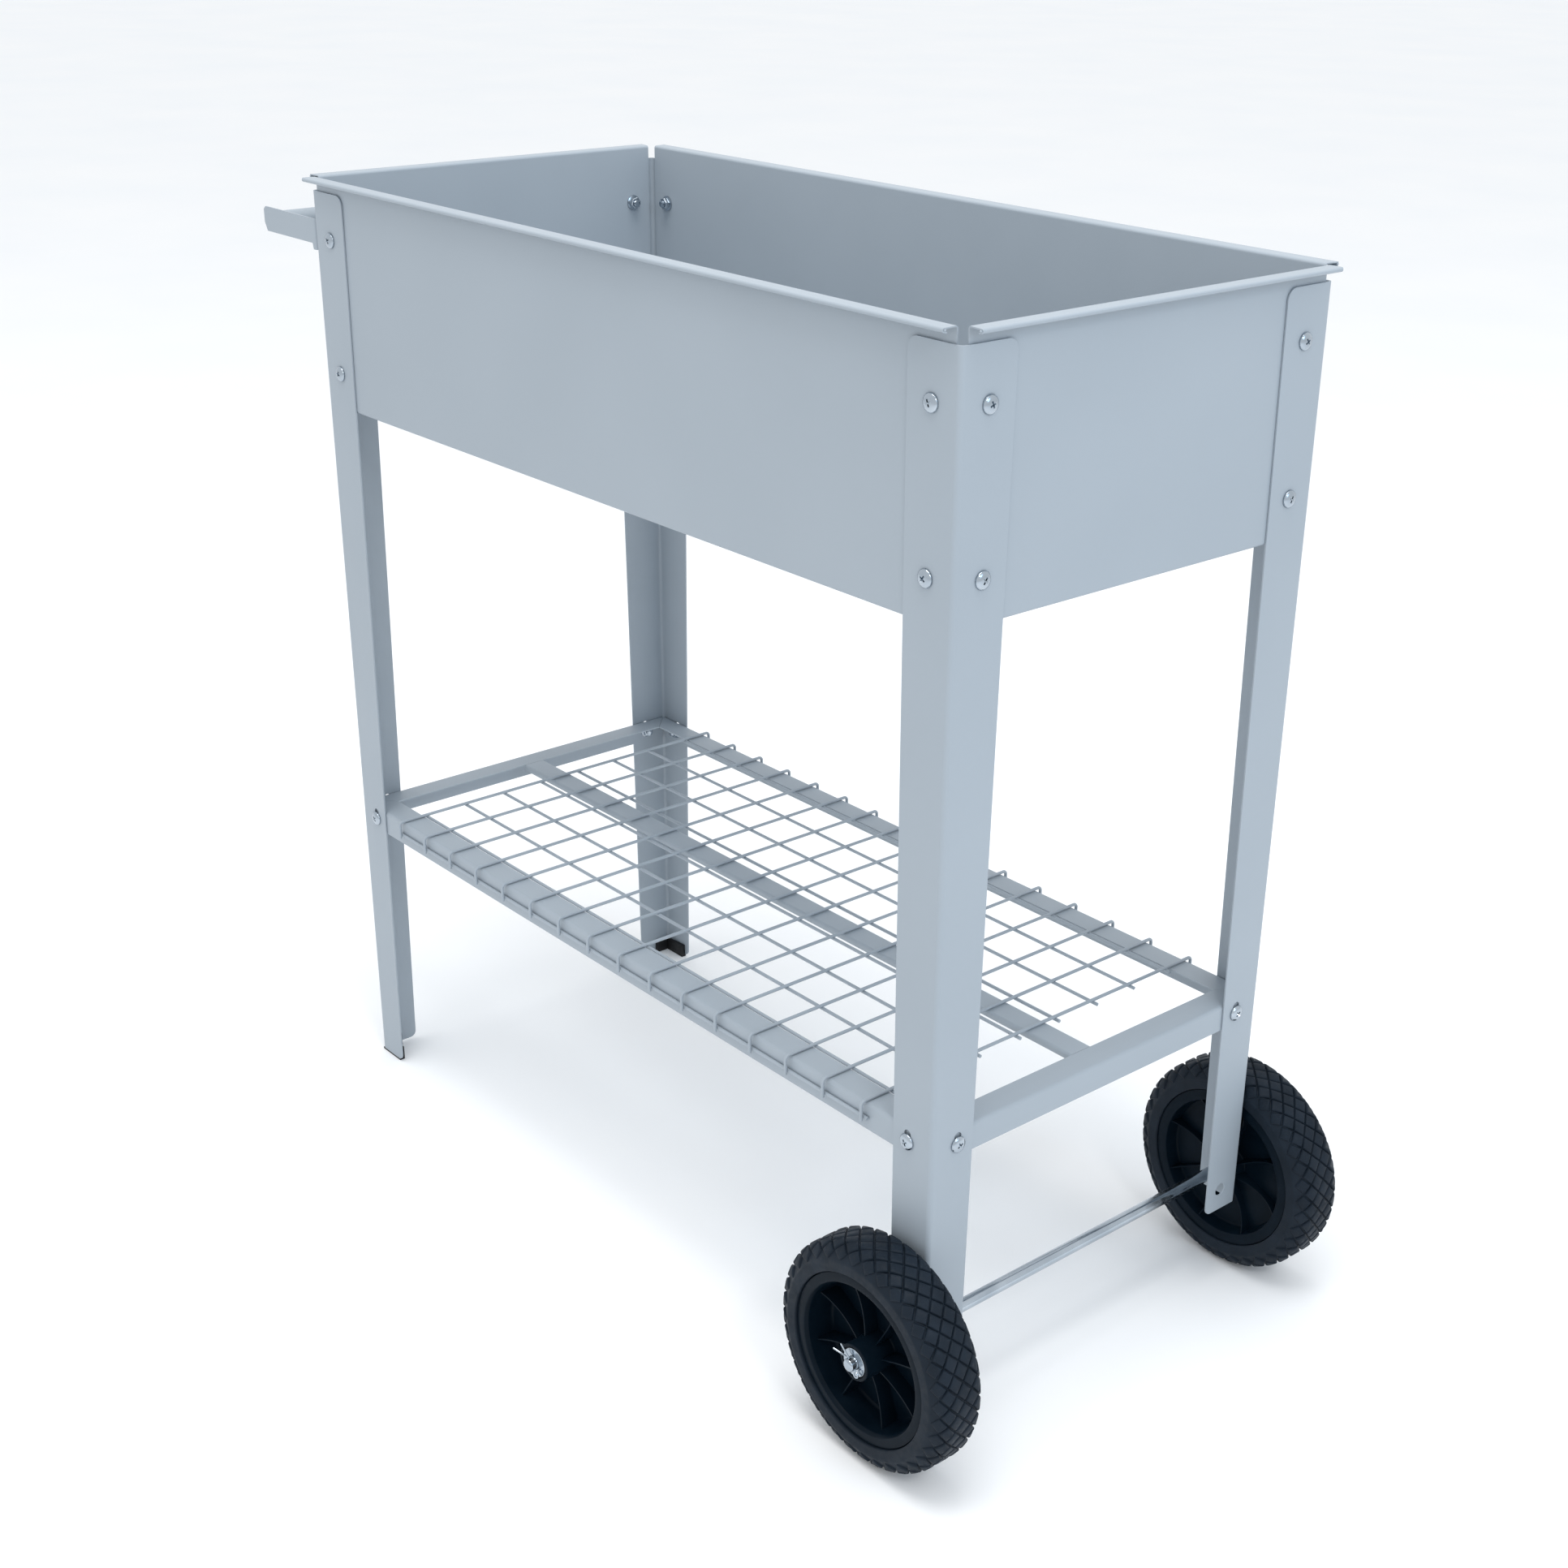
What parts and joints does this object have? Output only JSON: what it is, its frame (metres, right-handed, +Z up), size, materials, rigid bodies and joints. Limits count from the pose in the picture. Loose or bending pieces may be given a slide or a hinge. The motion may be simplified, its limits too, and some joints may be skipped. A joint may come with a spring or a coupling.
{
  "type": "raised planter cart",
  "caption": "Raised planter: an open folded-sheet tray on four tapered angle legs, with a wire storage shelf, a push handle and wheels at one end.",
  "frame": {"origin": "on the ground, under the middle of the whole cart's box in length and width", "axes": "+X towards the wheel end along the length, +Y towards the back long side, +Z up"},
  "size_m": [0.918, 0.455, 0.811],
  "materials": {
    "powder_coat": "satin light blue-grey powder coat",
    "zinc": "bright zinc plating",
    "cap_plastic": "black moulded plastic",
    "rim_plastic": "glossy black moulded plastic",
    "tyre": "dark slate rubber"
  },
  "bodies": {
    "cart": {"tray_floor": "powder_coat", "tray_wall_front": "powder_coat", "tray_wall_back": "powder_coat", "tray_wall_wheel_end": "powder_coat", "tray_wall_handle_end": "powder_coat", "leg_front_wheel": "powder_coat", "leg_back_wheel": "powder_coat", "leg_front_handle": "powder_coat", "leg_back_handle": "powder_coat", "handle_arm_front": "powder_coat", "handle_arm_back": "powder_coat", "handle_grip": "powder_coat", "shelf_rail_front": "powder_coat", "shelf_rail_back": "powder_coat", "shelf_rail_wheel_end": "powder_coat", "shelf_rail_handle_end": "powder_coat", "shelf_middle_bar": "powder_coat", "shelf_grid": "powder_coat", "axle": "zinc", "washer_inner_front": "zinc", "washer_inner_back": "zinc", "washer_outer_front": "zinc", "washer_outer_back": "zinc", "cotter_pin_front": "zinc", "cotter_pin_back": "zinc", "screw_front_wheel_side_upper": "zinc", "screw_front_wheel_end_upper": "zinc", "screw_front_wheel_side_lower": "zinc", "screw_front_wheel_end_lower": "zinc", "screw_front_wheel_side_shelf": "zinc", "screw_front_wheel_end_shelf": "zinc", "screw_back_wheel_side_upper": "zinc", "screw_back_wheel_end_upper": "zinc", "screw_back_wheel_side_lower": "zinc", "screw_back_wheel_end_lower": "zinc", "screw_back_wheel_side_shelf": "zinc", "screw_back_wheel_end_shelf": "zinc", "screw_front_handle_side_upper": "zinc", "screw_front_handle_end_upper": "zinc", "screw_front_handle_side_lower": "zinc", "screw_front_handle_end_lower": "zinc", "screw_front_handle_side_shelf": "zinc", "screw_front_handle_end_shelf": "zinc", "screw_back_handle_side_upper": "zinc", "screw_back_handle_end_upper": "zinc", "screw_back_handle_side_lower": "zinc", "screw_back_handle_end_lower": "zinc", "screw_back_handle_side_shelf": "zinc", "screw_back_handle_end_shelf": "zinc", "foot_cap_front": "cap_plastic", "foot_cap_back": "cap_plastic"},
    "wheel_front": {"tyre_front": "tyre", "wheel_rim_front": "rim_plastic"},
    "wheel_back": {"tyre_back": "tyre", "wheel_rim_back": "rim_plastic"}
  },
  "joints": [
    {"name": "wheel_front_spin", "type": "hinge", "parent": "cart", "child": "wheel_front", "pos_m": [0.37005, -0.1965, 0.0889], "axis": [0, 1, 0], "continuous": true},
    {"name": "wheel_back_spin", "type": "hinge", "parent": "cart", "child": "wheel_back", "pos_m": [0.37005, 0.1965, 0.0889], "axis": [0, 1, 0], "continuous": true}
  ]
}
